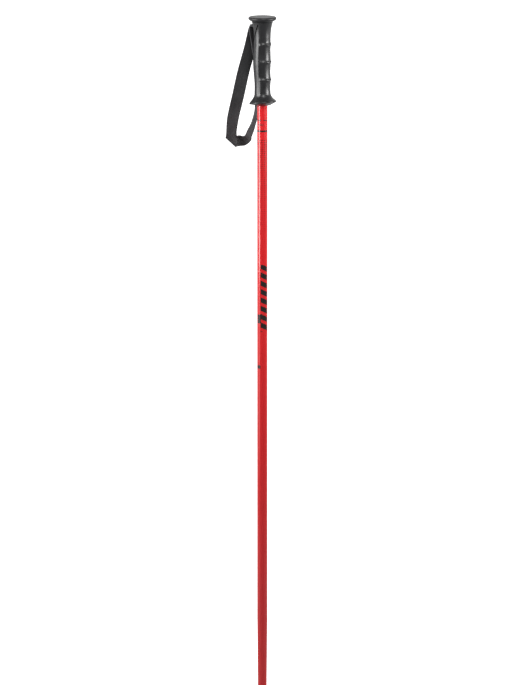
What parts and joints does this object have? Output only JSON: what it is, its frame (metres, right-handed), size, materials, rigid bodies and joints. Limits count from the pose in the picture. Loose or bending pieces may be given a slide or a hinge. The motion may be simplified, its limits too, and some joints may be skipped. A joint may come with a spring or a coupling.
{
  "type": "ski pole",
  "caption": "Ski pole: moulded grip with a locking webbing strap, tapered tube, basket and steel point.",
  "frame": {"origin": "middle of the hand hold, on the tube's axis", "axes": "+Z along the tube towards the cap, +X towards the finger side of the grip, -X towards the palm side where the strap comes out"},
  "size_m": [0.0887, 0.06, 1.2],
  "materials": {
    "grip_plastic": "moulded black plastic, semi-gloss",
    "webbing": "black diagonal-weave webbing",
    "red_lacquer": "glossy red lacquer over aluminium, darker towards the tip",
    "tip_plastic": "moulded black plastic, matt",
    "steel": "turned steel"
  },
  "bodies": {
    "pole": {"grip_body": "grip_plastic", "grip_cap": "grip_plastic", "shaft_tube": "red_lacquer", "shaft_end_cap": "tip_plastic", "ferrule": "tip_plastic", "steel_point": "steel"},
    "strap_lock": {"strap_wedge": "grip_plastic", "strap_pin": "steel", "strap_in_lock": "webbing"},
    "strap": {"wrist_strap": "webbing"},
    "basket": {"basket": "tip_plastic"}
  },
  "joints": [
    {"name": "lock_slide", "type": "slide", "parent": "pole", "child": "strap_lock", "axis": [-1, 0, 0], "range_m": [0, 0.004]},
    {"name": "strap_swing", "type": "hinge", "parent": "strap_lock", "child": "strap", "pos_m": [-0.0153, 0, 0.057], "axis": [0, 1, 0], "range_deg": [0, 85]},
    {"name": "basket_spin", "type": "hinge", "parent": "pole", "child": "basket", "pos_m": [0, 0, -1.06475], "axis": [0, 0, 1], "continuous": true}
  ]
}
